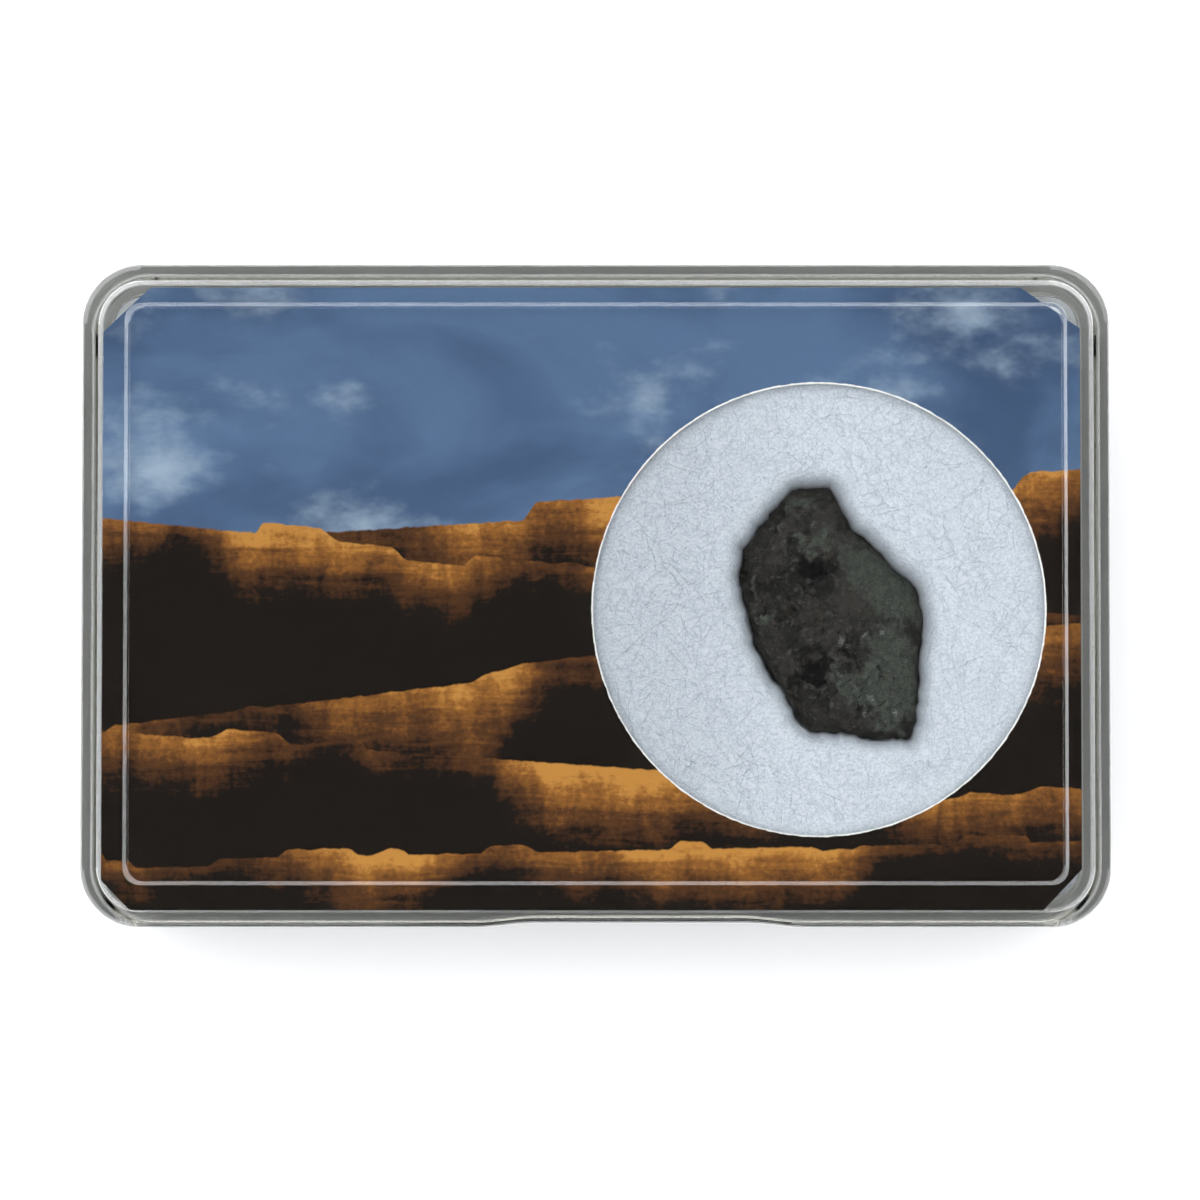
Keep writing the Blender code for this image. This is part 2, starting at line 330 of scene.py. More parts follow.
# insets a face, lifts what is inside, and marks both new loops for rounding;
# the narrow holding loops beside each rounding keep the flat faces flat in shading
def stepFace(bm, face, inset, rise, footWidth, edgeWidth, heldWidth):
    first = heldWidth + box["hold"]
    last = footWidth + box["hold"]
    insetFace(bm, face, first)
    if inset > first + last:
        insetFace(bm, face, inset - first - last)
        insetFace(bm, face, last)
    else:
        insetFace(bm, face, inset - first)
    markLoop(bm, face, footWidth)
    made = bmesh.ops.extrude_face_region(bm, geom=[face])["geom"]
    bmesh.ops.delete(bm, geom=[face], context="FACES_ONLY")
    moved = [item for item in made if isinstance(item, bmesh.types.BMVert)]
    bmesh.ops.translate(bm, vec=(0.0, 0.0, rise), verts=moved)
    lifted = next(item for item in made if isinstance(item, bmesh.types.BMFace))
    bm.normal_update()
    markLoop(bm, lifted, edgeWidth)
    return lifted


def holdFace(bm, face, width):
    insetFace(bm, face, width + box["hold"])


# level cuts round the walls, beside the roundings at their ends
def holdWalls(bm, levels):
    for level in levels:
        bmesh.ops.bisect_plane(
            bm,
            geom=list(bm.verts) + list(bm.edges) + list(bm.faces),
            dist=box["merge"],
            plane_co=(0.0, 0.0, level),
            plane_no=(0.0, 0.0, 1.0),
        )


def recessShare(x):
    reach = box["recessHalfWidth"] - abs(x - box["recessOffset"])
    return smoothstep(0.0, box["recessRamp"], reach)


def pressThumbRecess(bm, width):
    front = -width / 2 + box["near"]
    longEdges = [
        edge
        for edge in bm.edges
        if max(vert.co.y for vert in edge.verts) < front
        and abs(edge.verts[0].co.x - edge.verts[1].co.x) > box["recessHalfWidth"]
    ]
    bmesh.ops.subdivide_edges(bm, edges=longEdges, cuts=box["recessCuts"], use_grid_fill=True)
    for vert in bm.verts:
        if vert.co.y < front:
            vert.co.y += box["recessDepth"] * recessShare(vert.co.x)


def finishShell(name, bm, floor, node):
    bmesh.ops.translate(bm, vec=(0.0, 0.0, floor), verts=bm.verts)
    bmesh.ops.recalc_face_normals(bm, faces=bm.faces)
    shell = newPiece(name, bm)
    shell.data.shade_smooth()
    bevel = shell.modifiers.new("rounded edges", "BEVEL")
    bevel.limit_method = "WEIGHT"
    bevel.width = box["outerEdge"]
    bevel.segments = box["edgeSegments"]
    bevel.use_clamp_overlap = True
    weighted = shell.modifiers.new("flat faces stay flat", "WEIGHTED_NORMAL")
    weighted.mode = "FACE_AREA"
    dress(shell, clearPlastic)
    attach(shell, "root")
    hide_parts(node)
    return shell


# moves the back half of the panel's loops towards the back edge
def shiftPanelBack(bm, size, height):
    reach = box["panelInset"] - box["panelLoops"]
    halfLength, halfWidth = size.x / 2 - reach, size.y / 2 - reach
    for vert in bm.verts:
        x, y, z = vert.co
        if z > height - box["near"] and abs(x) < halfLength and 0.0 < y < halfWidth:
            vert.co.y += box["panelBack"]


def makeLid():
    low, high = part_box("lid")
    size = high - low
    height = size.z - box["panelRise"]
    bm = roundedBlock(size.x, size.y, height, box["cornerRadius"], box["cornerSegments"])
    top = endFace(bm, 1)
    markLoop(bm, top, box["outerEdge"])
    foot, edge, lip = box["footFillet"], box["innerEdge"], box["lipEdge"]
    raised = box["panelEdge"]
    panel = stepFace(
        bm, top, box["panelInset"], box["panelRise"], foot, raised, box["outerEdge"]
    )
    shiftPanelBack(bm, size, height)
    taper = [1.0 - 2 * box["panelTaper"] / (side - 2 * box["panelInset"]) for side in size.xy]
    bmesh.ops.scale(bm, vec=(*taper, 1.0), verts=panel.verts)
    holdFace(bm, panel, raised)
    bottom = endFace(bm, -1)
    markLoop(bm, bottom, lip)
    rise = height - box["lidTop"]
    holdFace(bm, stepFace(bm, bottom, box["lidWall"], rise, lip, edge, lip), edge)
    hold = box["hold"]
    holdWalls(bm, (lip + hold, rise - edge - hold, height - box["outerEdge"] - hold))
    pressThumbRecess(bm, size.y)
    return finishShell("clear_lid", bm, low.z, "lid")


def makeTray():
    low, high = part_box("base_tray")
    size = high - low
    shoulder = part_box("lid")[0].z - box["shoulderDrop"] - low.z
    bm = roundedBlock(size.x, size.y, shoulder, box["cornerRadius"], box["cornerSegments"])
    markLoop(bm, endFace(bm, -1), box["outerEdge"])
    top = endFace(bm, 1)
    foot, edge, lip = box["footFillet"], box["innerEdge"], box["lipEdge"]
    markLoop(bm, top, lip)
    rim = stepFace(bm, top, box["rimInset"], size.z - shoulder, foot, lip, lip)
    drop = box["trayFloor"] - size.z
    holdFace(bm, stepFace(bm, rim, box["rimWall"], drop, lip, edge, lip), edge)
    hold = box["hold"]
    base = (box["outerEdge"] + hold, box["trayFloor"] + edge + hold)
    holdWalls(bm, (*base, shoulder - lip - hold, shoulder + foot + hold, size.z - lip - hold))
    pressThumbRecess(bm, size.y)
    return finishShell("clear_tray", bm, low.z, "base_tray")


lid = makeLid()
tray = makeTray()
print("box moulded:", len(lid.data.polygons), "+", len(tray.data.polygons), "faces")


# The stone: a broken dark fragment, rough at the left and smoother at the right
stone = {
    "centre": (19.05, -1.6),
    "grown": (1.031, 1.024, 1.0),
    "shift": (0.18, 0.16, 0.0),
    "girdle": 12.4,  # height of the widest outline
    "upperFrom": 12.0,  # pits and grains lie above this height
    "rimFrom": 12.5,  # the relief grows from here
    "rimTo": 13.6,  # up to here, so the rim keeps its clean broken outline
    "cell": 0.11 * mm,
    "smoothPasses": 3,
    "lumpScale": 0.55,
    "lumpRise": 0.16,
    "chipScale": 0.62,
    "chipSlope": 0.30,
    "chipGain": 4.0,
    "chipLimit": 0.26,
    "chipBlend": 0.32,
    "chipSeed": 2,
    "chipWander": 0.35,
    "chipWanderScale": 0.8,
    "toneSeed": 31.3,
    "tiltSeed": 19.7,
    "gritScale": 2.2,
    "gritRise": 0.10,
    "grainRise": 0.07,
    "crestPasses": 8,
    "crestRise": 0.05,
    "roughFrom": 3.2,  # millimetres right of the centre, where the roughness starts
    "roughTo": -1.4,  # and where it is full, further left
    "roughAcross": (0.8, 0.35),  # the direction that these are measured in
    "roughWander": 1.6,
    "roughWanderScale": 0.35,
    "smoothLeast": 0.35,  # share of the roughness that is left on the smooth side
    "rimLeast": 0.25,  # and on the rim
    "lumpLayers": (0.9, 2.1, 3),  # how the finer layers fade, their step, and their number
    "gritLayers": (0.55, 2.2, 4),
    "pitWander": (0.55, 0.8),  # how far the pits' outlines wander, and the scale of it
    "pitFineWander": (0.35, 2.3),
    # how dark the painted shade in a pit is for its depth
    "pitDark": 2.4,
    "patchWander": 1.1,
    "patchWanderScale": 0.9,
    "marksFrom": 11.0,  # specks and grains come in between these heights
    "marksTo": 12.5,
    "speckSpread": (2.1, 2.4),  # the listed sizes are those of the bright middle
    "grainSpread": 1.3,
    "pits": [  # x, y, radius and depth
        (17.75, 2.1, 2.0, 0.45),
        (17.5, -6.0, 2.2, 0.5),
        (16.3, -7.0, 1.0, 0.3),
        (14.6, 1.2, 0.7, 0.3),
        (19.6, 0.4, 0.6, 0.15),
        (20.1, -4.6, 0.7, 0.25),
        (16.2, 4.4, 0.8, 0.25),
        (13.6, 3.1, 0.6, 0.2),
    ],
    "specks": [  # x, y, half length, half width, turn in degrees, and how light
        (17.67, 5.88, 0.30, 0.20, 80, 0.8),
        (18.55, 4.91, 0.28, 0.16, 20, 0.6),
        (15.9, 4.6, 0.22, 0.12, 30, 0.5),
        (19.9, -3.63, 0.50, 0.22, 70, 1.0),
        (20.3, -4.1, 0.26, 0.18, 120, 0.8),
        (21.8, -3.15, 0.55, 0.14, 48, 0.8),
        (23.25, -2.95, 0.40, 0.20, 60, 0.9),
        (24.1, -3.3, 0.42, 0.12, 0, 0.6),
        (25.2, -5.3, 0.16, 0.22, 0, 0.7),
        (21.8, -9.5, 0.36, 0.24, 150, 0.9),
        (24.3, -9.45, 0.30, 0.34, 30, 0.9),
        (19.6, -6.35, 0.55, 0.24, 150, 0.7),
        (21.0, -7.4, 0.70, 0.20, 140, 0.6),
        (22.3, -8.3, 0.50, 0.24, 130, 0.9),
        (17.6, -6.4, 0.16, 0.10, 60, 0.9),
        (18.0, -7.6, 0.12, 0.20, 20, 0.8),
        (17.0, -5.4, 0.14, 0.10, 0, 0.6),
        (16.3, 0.6, 0.2, 0.16, 0, 0.45),
        (13.2, 0.9, 0.24, 0.14, 10, 0.4),
        (14.2, -4.4, 0.26, 0.14, 40, 0.45),
    ],
    "chondrules": [  # x, y, radius: small round grains, tan or grey
        (15.33, -0.98, 0.42),
        (18.3, -1.7, 0.30),
        (22.4, 1.0, 0.28),
        (21.3, -1.2, 0.22),
        (16.9, -2.9, 0.22),
        (23.6, -6.6, 0.26),
        (18.9, 3.2, 0.24),
        (20.6, 5.2, 0.20),
    ],
    "greenPatches": [  # x, y, half length, half width, turn in degrees: smoother, greener faces
        (22.9, 1.2, 6.6, 2.6, 137),
        (23.9, -6.4, 6.0, 3.4, 97),
        (21.1, -7.7, 3.8, 1.9, 140),
        (17.7, 4.4, 2.2, 1.4, 60),
        (23.9, -10.2, 2.6, 1.5, 10),
        (14.0, -2.0, 2.0, 1.0, 80),
        (16.6, 7.4, 1.8, 1.2, 30),
    ],
    "brownPatches": [
        (21.2, -0.5, 3.4, 2.4, 140),
        (20.4, -10.0, 2.6, 1.5, 160),
        (19.0, 7.2, 1.6, 1.0, 0),
        (14.6, 2.8, 2.4, 1.6, 60),
    ],
}


# 1 in the middle of an ellipse and 0 from its edge on
def insideEllipse(point, x, y, halfLength, halfWidth, turn):
    angle = math.radians(turn)
    across, up = point.x - x, point.y - y
    along = (across * math.cos(angle) + up * math.sin(angle)) / halfLength
    side = (up * math.cos(angle) - across * math.sin(angle)) / halfWidth
    return 1.0 - smoothstep(0.0, 1.0, math.hypot(along, side))


def roughShare(point):
    x, y = stone["centre"]
    alongX, alongY = stone["roughAcross"]
    across = alongX * (point.x - x) + alongY * (point.y - y)
    wander = stone["roughWander"] * noise.noise(point * stone["roughWanderScale"])
    return smoothstep(stone["roughFrom"], stone["roughTo"], across + wander)


def chipMiddle(point):
    return noise.voronoi(point * stone["chipScale"])[1][0]


# how light one chipped facet is beside its neighbours
def chipTone(point):
    return 0.5 + 0.5 * noise.cell(chipMiddle(point) * stone["toneSeed"])


# chipped facets: small planes, each with its own tilt, that meet along worn edges
def chip(point):
    wander = noise.noise_vector(point * stone["chipWanderScale"]) * stone["chipWander"]
    spread = point * stone["chipScale"] + wander
    distances, middles = noise.voronoi(spread)
    heights = []
    for middle in middles[:3]:
        tilt = noise.cell_vector(middle * stone["tiltSeed"]) - Vector((0.5, 0.5, 0.5))
        rise = (spread - middle).dot(tilt) * stone["chipSlope"] * stone["chipGain"]
        heights.append(rise)
    nearness = smoothstep(0.0, stone["chipBlend"], distances[1] - distances[0])
    height = heights[0] * (0.5 + 0.5 * nearness) + heights[1] * (0.5 - 0.5 * nearness)
    return min(max(height, -stone["chipLimit"]), stone["chipLimit"])


def pitDepth(point):
    depth = 0.0
    share, scale = stone["pitWander"]
    fineShare, fineScale = stone["pitFineWander"]
    wander = share * noise.noise(point * scale) + fineShare * noise.noise(point * fineScale)
    for x, y, radius, deepest in stone["pits"]:
        away = math.hypot(point.x - x, point.y - y) / radius
        away += wander
        away = max(away, 0.0)
        if away < 1.0 and point.z > stone["upperFrom"]:
            depth = max(depth, deepest * (1.0 - away * away) ** 2)
    return depth


def stoneRelief(point):
    least, smooth = stone["rimLeast"], stone["smoothLeast"]
    upperShare = least + (1.0 - least) * smoothstep(stone["rimFrom"], stone["rimTo"], point.z)
    rough = (smooth + (1.0 - smooth) * roughShare(point)) * upperShare
    lumps = noise.fractal(point * stone["lumpScale"], *stone["lumpLayers"])
    grit = noise.fractal(point * stone["gritScale"], *stone["gritLayers"])
    height = stone["lumpRise"] * lumps + rough * (chip(point) + stone["gritRise"] * grit)
    for x, y, radius in stone["chondrules"]:
        if point.z > stone["upperFrom"]:
            height += stone["grainRise"] * insideEllipse(point, x, y, radius, radius, 0)
    return height - pitDepth(point)


def strongest(point, patches, wander):
    spread = point + Vector((wander, -wander, 0.0))
    return max(insideEllipse(spread, *patch) for patch in patches)


def addAttribute(piece, name, values):
    attribute = piece.data.attributes.new(name, "FLOAT", "POINT")
    attribute.data.foreach_set("value", values)


def smoothOut(bm, passes):
    for _ in range(passes):
        bmesh.ops.smooth_vert(
            bm, verts=bm.verts, factor=0.5, use_axis_x=True, use_axis_y=True, use_axis_z=True
        )
    bm.normal_update()


# how far each point stands out from its surroundings, below 0 in a hollow
def crests(bm):
    places = [vert.co.copy() for vert in bm.verts]
    smoothOut(bm, stone["crestPasses"])
    rises = [(place - vert.co).dot(vert.normal) for place, vert in zip(places, bm.verts)]
    for vert, place in zip(bm.verts, places):
        vert.co = place
    return [rise / mm / stone["crestRise"] for rise in rises]


def makeStone():
    # vector noise starts from the clock in each run unless it is given a seed
    noise.seed_set(stone["chipSeed"])
    bm = bmesh.new()
    bm.from_mesh(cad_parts["meteorite"].data)
    bmesh.ops.remove_doubles(bm, verts=bm.verts, dist=0.001 * mm)
    middle = Vector((*stone["centre"], 0.0)) * mm
    bmesh.ops.scale(
        bm, vec=stone["grown"], space=Matrix.Translation(-middle), verts=bm.verts
    )
    bmesh.ops.translate(bm, vec=Vector(stone["shift"]) * mm, verts=bm.verts)
    rough = newPiece("rough_stone", bm)
    remesh = rough.modifiers.new("even cells", "REMESH")
    remesh.mode = "VOXEL"
    remesh.voxel_size = stone["cell"]
    bm = finishedMesh(rough)
    removePiece(rough)
    smoothOut(bm, stone["smoothPasses"])
    moved = [vert.co + vert.normal * stoneRelief(vert.co / mm) * mm for vert in bm.verts]
    for vert, place in zip(bm.verts, moved):
        vert.co = place
    crestRises = crests(bm)
    points = [vert.co / mm for vert in bm.verts]
    made = newPiece("chondrite_stone", bm)
    made.data.shade_smooth()
    shift, scale = stone["patchWander"], stone["patchWanderScale"]
    wander = [shift * noise.noise(point * scale) for point in points]
    upper = [smoothstep(stone["marksFrom"], stone["marksTo"], point.z) for point in points]
    pairs = list(zip(points, wander))
    addAttribute(made, "rough", [roughShare(point) for point in points])
    addAttribute(made, "crest", crestRises)
    addAttribute(made, "tone", [chipTone(point) for point in points])
    # painted shade in the pits: the deeper, the darker
    pits = [min(pitDepth(point) * stone["pitDark"], 1.0) for point in points]
    addAttribute(made, "pit", pits)
    addAttribute(made, "green", [strongest(p, stone["greenPatches"], w) for p, w in pairs])
    addAttribute(made, "brown", [strongest(p, stone["brownPatches"], w) for p, w in pairs])
    specks = []
    longer, wider = stone["speckSpread"]
    for point, share in zip(points, upper):
        light = 0.0
        for x, y, halfLength, halfWidth, turn, strength in stone["specks"]:
            spot = insideEllipse(point, x, y, halfLength * longer, halfWidth * wider, turn)
            light = max(light, spot * strength)
        specks.append(light * share)
    addAttribute(made, "speck", specks)
    wider = stone["grainSpread"]
    grains = [
        max(
            insideEllipse(point, x, y, radius * wider, radius * wider, 0)
            for x, y, radius in stone["chondrules"]
        )
        for point in points
    ]
    addAttribute(made, "grain", [g * share for g, share in zip(grains, upper)])
    return made


stoneLooks = {
    "darkBrown": (0.0125, 0.012, 0.011),
    "greyBrown": (0.038, 0.0355, 0.0315),
    "green": (0.062, 0.070, 0.060),
    "darkGreen": (0.030, 0.035, 0.0295),
    "palest": (0.19, 0.195, 0.185),
    "tan": (0.052, 0.042, 0.030),
    "black": (0.004, 0.004, 0.004),
    "broadNoise": (0.45, 3.0, 0.6),  # scale, detail and roughness
    "middleNoise": (1.9, 4.0, 0.62),
    "fineNoise": (6.5, 4.0, 0.7),
    "matrixFade": (0.36, 0.62),
    "brownShare": 0.6,
    "greenToneFade": (0.4, 0.6),
    "greenFade": (0.0, 0.55),
    "greenShare": 0.92,
    "cellScale": 1.6,
    "cellFade": (0.10, 0.24),
    "cellShare": 0.4,
    "grainShare": 0.85,
    "dustFade": (0.56, 0.70),
    "dustAndShadowShare": 0.26,
    # painted highlight: crests are lightened towards the palest colour
    "crestHighlightFade": (0.35, 1.5),
    "crestHighlightShare": 0.16,
    "speckFade": (0.42, 1.15),
    "speckShare": 0.7,
    # painted shade: hollows, pits and steep sides are darkened towards black
    "hollowFade": (0.3, 1.7),
    "hollowShare": 0.7,
    "pitFade": (0.05, 0.9),
    "sideFade": (0.2, 0.62),
    "sideShare": 0.8,
    "roughness": 0.78,
    "specular": 0.18,
    "bumpDistance": 0.00022,
    "bumpStrength": 0.8,
}


def makeStoneMaterial():
    material, start, place = newMaterial("chondrite")

    def painted(name):
        return start.node("Attribute", {"attribute_name": name}, {}, "Fac")

    looks = stoneLooks
    rough, crest = painted("rough"), painted("crest")
    broad = place.noise(*looks["broadNoise"])
    middle = place.noise(*looks["middleNoise"])
    fine = place.noise(*looks["fineNoise"])
    mottle = broad * 0.2 + middle * 0.35 + fine * 0.25 + painted("tone") * 0.14
    matrix = mottle.fade(*looks["matrixFade"]).between(looks["darkBrown"], looks["greyBrown"])
    brown = (painted("brown") * looks["brownShare"]).between(matrix, looks["greyBrown"])
    greenTone = (middle * 0.45 + fine * 0.55).fade(*looks["greenToneFade"])
    smoothGreen = greenTone.between(looks["darkGreen"], looks["green"])
    greenShare = painted("green") * 1.3 - rough * 0.25 + (middle - 0.5) * 0.9 + (broad - 0.5) * 0.6
    greenCover = greenShare.fade(*looks["greenFade"]) * looks["greenShare"]
    toned = greenCover.between(brown, smoothGreen)
    cells = start.node(
        "TexVoronoi",
        {"feature": "F1"},
        {"Vector": place, "Scale": looks["cellScale"], "Randomness": 1.0},
    )
    inclusion = (1.0 - cells.fade(*looks["cellFade"])) * place.noise(0.8, 1.0).fade(0.5, 0.6)
    spotted = (inclusion * looks["cellShare"]).between(toned, looks["tan"])
    grains = (painted("grain") * looks["grainShare"]).between(spotted, looks["tan"])
    # pale dust, mostly on the rough side
    dust = (fine * 0.65 + middle * 0.35).fade(*looks["dustFade"]) * (rough * 0.6 + 0.15)
    # painted highlight on the crests
    edges = (crest + (fine - 0.5) * 2.2).fade(*looks["crestHighlightFade"])
    # painted highlight on the crests, together with the pale dust
    paintedLightAndDust = edges * looks["crestHighlightShare"] + dust * looks["dustAndShadowShare"]
    highlightedAndDusted = paintedLightAndDust.between(grains, looks["palest"])
    broken = (painted("speck") + (fine - 0.5) * 2.4).fade(*looks["speckFade"])
    speckCover = broken * painted("speck").fade(0.0, 0.3) * looks["speckShare"]
    specked = speckCover.between(highlightedAndDusted, looks["palest"])
    # painted shade in the hollows between crests, with some random fine darkening
    hollow = (crest * -1.0 + (0.5 - fine) * 1.6).fade(*looks["hollowFade"]) * looks["hollowShare"]
    # painted shade in the pits, plus random dark mottling on the rough side
    deep = painted("pit") * 1.1 + (0.46 - middle) * 2.0 * rough
    # painted shade on the steep sides, darker the more they face sideways
    facing = start.node("NewGeometry", {}, {}, "Normal").part("Z")
    side = (1.0 - facing.fade(*looks["sideFade"])) * looks["sideShare"]
    # all this painted shade darkens the colour towards black
    paintedShade = hollow.math("MAXIMUM", deep.fade(*looks["pitFade"])).math("MAXIMUM", side)
    colour = paintedShade.between(specked, looks["black"])
    bump = start.node(
        "Bump",
        {},
        {
            "Height": fine * 0.7 + middle,
            "Distance": looks["bumpDistance"],
            "Strength": looks["bumpStrength"],
        },
    )
    closeMaterial(
        start,
        {
            "Base Color": colour,
            "Roughness": looks["roughness"] - painted("green") * 0.2 + fine * 0.1,
            "Specular IOR Level": looks["specular"],
            "Normal": bump,
        },
    )
    return material


meteorite = makeStone()
dress(meteorite, makeStoneMaterial())
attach(meteorite, "root")
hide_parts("meteorite")
print("stone broken:", len(meteorite.data.polygons), "faces")


# The wadding: a soft white felt pad that the stone has sunk into
pad = {
    "cell": 0.62 * mm,
    "fineCuts": 3,
    "shrink": 0.15 * mm,
    "edgeRound": 0.45 * mm,
    "edgeSegments": 4,
    "cornerRadius": 2.1 * mm,
    "cornerSegments": 8,
    "topBand": 1.0,  # only points this near the top sink under the stone
    "windowCentre": (18.05, -1.1),
    "windowRadius": 19.2,
    "bulge": 0.28,
    "bulgeFrom": 0.55,  # as shares of the window's radius
    "bulgeTo": 0.98,
    "dimpleDepth": 2.7,
    "dimpleReach": 0.52,
    "dimpleCurve": 1.25,
    "farFromStone": 15.0,  # past this the pad's upper side stays as it is
    # how far the painted contact shadow reaches round the stone
    "shadowReach": 0.42,
    "stoneGap": 0.22,
    "softRise": 0.07,
    "softScale": 0.32,
    "softLayers": (0.9, 2.0, 2),  # how the finer layers fade, their step, and their number
    "feltRise": 0.012,
    "feltScale": 2.3,
    "feltLayers": (0.7, 2.1, 3),
}


def feltRelief(point):
    soft = noise.fractal(point * pad["softScale"], *pad["softLayers"])
    felt = noise.fractal(point * pad["feltScale"], *pad["feltLayers"])
    return pad["softRise"] * soft + pad["feltRise"] * felt


def onWindow(point):
    x, y = pad["windowCentre"]
    return math.hypot(point.x - x, point.y - y) / pad["windowRadius"]


# how high the pad's upper side is at a point, with the stone pressed into it,
# and how much painted contact shadow darkens it there, round and under the stone
def pressed(point, level, stoneTree):
    x, y = stone["centre"]
    if math.hypot(point.x - x, point.y - y) > pad["farFromStone"]:
        return level, 0.0
    below = Vector((point.x, point.y, 0.0)) * mm
    hit = stoneTree.ray_cast(below, Vector((0.0, 0.0, 1.0)))[0]
    if hit:
        return min(level, hit.z / mm - pad["stoneGap"]), 1.0
    girdle = Vector((point.x, point.y, stone["girdle"])) * mm
    away = stoneTree.find_nearest(girdle)[3] / mm
    sunk = math.exp(-((away / pad["dimpleReach"]) ** pad["dimpleCurve"]))
    return level - pad["dimpleDepth"] * sunk, math.exp(-away / pad["shadowReach"])


def makePad():
    low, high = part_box("wadding_pad")
    size = high - low - Vector((1.0, 1.0, 1.0)) * 2 * pad["shrink"]
    bm = roundedBlock(size.x, size.y, size.z, pad["cornerRadius"], pad["cornerSegments"])
    rims = list(endFace(bm, 1).edges) + list(endFace(bm, -1).edges)
    bmesh.ops.bevel(
        bm,
        geom=rims,
        affect="EDGES",
        offset=pad["edgeRound"],
        segments=pad["edgeSegments"],
        profile=0.5,
        material=-1,
    )
    bmesh.ops.translate(bm, vec=(0.0, 0.0, low.z + pad["shrink"]), verts=bm.verts)
    block = newPiece("pad_block", bm)
    remesh = block.modifiers.new("even cells", "REMESH")
    remesh.mode = "VOXEL"
    remesh.voxel_size = pad["cell"]
    bm = finishedMesh(block)
    removePiece(block)
    bm.normal_update()
    seen = [
        face
        for face in bm.faces
        if face.normal.z > 0.9 and onWindow(face.calc_center_median() / mm) < 1.0
    ]
    edges = list(dict.fromkeys(edge for face in seen for edge in face.edges))
    bmesh.ops.subdivide_edges(bm, edges=edges, cuts=pad["fineCuts"], use_grid_fill=True)
    bm.normal_update()
    stoneTree = BVHTree.FromObject(meteorite, bpy.context.evaluated_depsgraph_get())
    top = size.z / mm + (low.z + pad["shrink"]) / mm
    # painted contact shadow of each point, round and under the stone
    dust = []
    for vert in bm.verts:
        point = vert.co / mm
        normal = vert.normal.copy()
        point += normal * feltRelief(point)
        contactShadow = 0.0
        if normal.z > 0.7 and point.z > top - pad["topBand"]:
            share = 1.0 - smoothstep(pad["bulgeFrom"], pad["bulgeTo"], onWindow(point))
            point.z, contactShadow = pressed(point, point.z + pad["bulge"] * share, stoneTree)
        dust.append(contactShadow)
        vert.co = point * mm
    made = newPiece("soft_wadding", bm)
    addAttribute(made, "dust", dust)
    made.data.shade_smooth()
    return made


waddingLooks = {
    "colour": (0.565, 0.61, 0.665),
    "shade": (0.43, 0.475, 0.535),
    # colour of the painted contact shadow round the stone
    "dust": (0.16, 0.165, 0.18),
    "dustAndShadowShare": 0.6,
    # painted shade: the left part of the window is darkened by this share
    "paintedLightAndDust": 0.14,  # how much greyer the left part of the window is
    "leftShadeFrom": 4.0,
    "leftShadeTo": 19.0,
    "hairNoise": (5.2, 2.0, 0.75),  # scale, detail and roughness
    "tangleNoise": (1.6, 1.0, 0.6),
    "toneFade": (0.40, 0.60),
    "roughness": 0.95,
}


def makeWaddingMaterial():
    material, start, place = newMaterial("white_felt")
    looks = waddingLooks
    hairs = place.noise(*looks["hairNoise"])
    tangle = place.noise(*looks["tangleNoise"])
    # painted shade: darker towards the left of the window
    leftShade = (1.0 - place.part("X").fade(looks["leftShadeFrom"], looks["leftShadeTo"])) * looks["paintedLightAndDust"]
    tone = (tangle * 0.2 + hairs * 0.8).fade(*looks["toneFade"])
    clean = tone.between(looks["shade"], looks["colour"])
    # painted contact shadow: the pad darkened round the stone
    contactShadow = start.node("Attribute", {"attribute_name": "dust"}, {}, "Fac")
    shadowCover = (contactShadow * (0.7 + hairs * 0.6)).fade(0.05, 1.0) * looks["dustAndShadowShare"]
    felt = shadowCover.between(clean, looks["dust"])
    closeMaterial(
        start,
        {
            "Base Color": felt.scaled(1.0 - leftShade),
            "Roughness": looks["roughness"],
            "Specular IOR Level": 0.0,
        },
    )
    return material


fibres = {
    "windowCount": 1100,
    "edgeCount": 2600,
    "points": 6,
    "length": 2.4,
    "shortest": 0.5,  # as shares of the length
    "longest": 1.3,
    "radius": 0.012,
    "lift": 0.02,
    "curl": 0.9,
    "stoneGap": 0.2,
    "windowSeed": 11,
    "edgeSeed": 23,
    "windowReach": 17.9,
    "dropFrom": 16.0,  # height from which a place on the pad is looked for
    "lowest": 12.6,  # none start lower, down in the dent
    "longSides": 0.62,  # share of the edge fibres on the long sides
    "edgeMargin": 0.8,
    "longSideAt": 0.03,  # well outside the long sides and the short ones, in metres
    "shortSideAt": 0.05,
    "wallLimit": 0.6,
}


# joins many short curved fibres, each given by its points, into one mesh of thin tubes
def fibreMesh(name, paths):
    curve = bpy.data.curves.new(name, "CURVE")
    curve.dimensions = "3D"
    curve.bevel_depth = fibres["radius"] * mm
    curve.bevel_resolution = 0
    curve.use_fill_caps = True
    for path in paths:
        spline = curve.splines.new("POLY")
        spline.points.add(len(path) - 1)
        for place, point in zip(spline.points, path):
            place.co = (*(point * mm), 1.0)
    guide = bpy.data.objects.new(name + "_guide", curve)
    scene.collection.objects.link(guide)
    bm = finishedMesh(guide)
    bpy.data.objects.remove(guide)
    bpy.data.curves.remove(curve)
    bmesh.ops.remove_doubles(bm, verts=bm.verts, dist=0.0005 * mm)
    bmesh.ops.recalc_face_normals(bm, faces=bm.faces)
    made = newPiece(name, bm)
    made.data.shade_smooth()
    return made


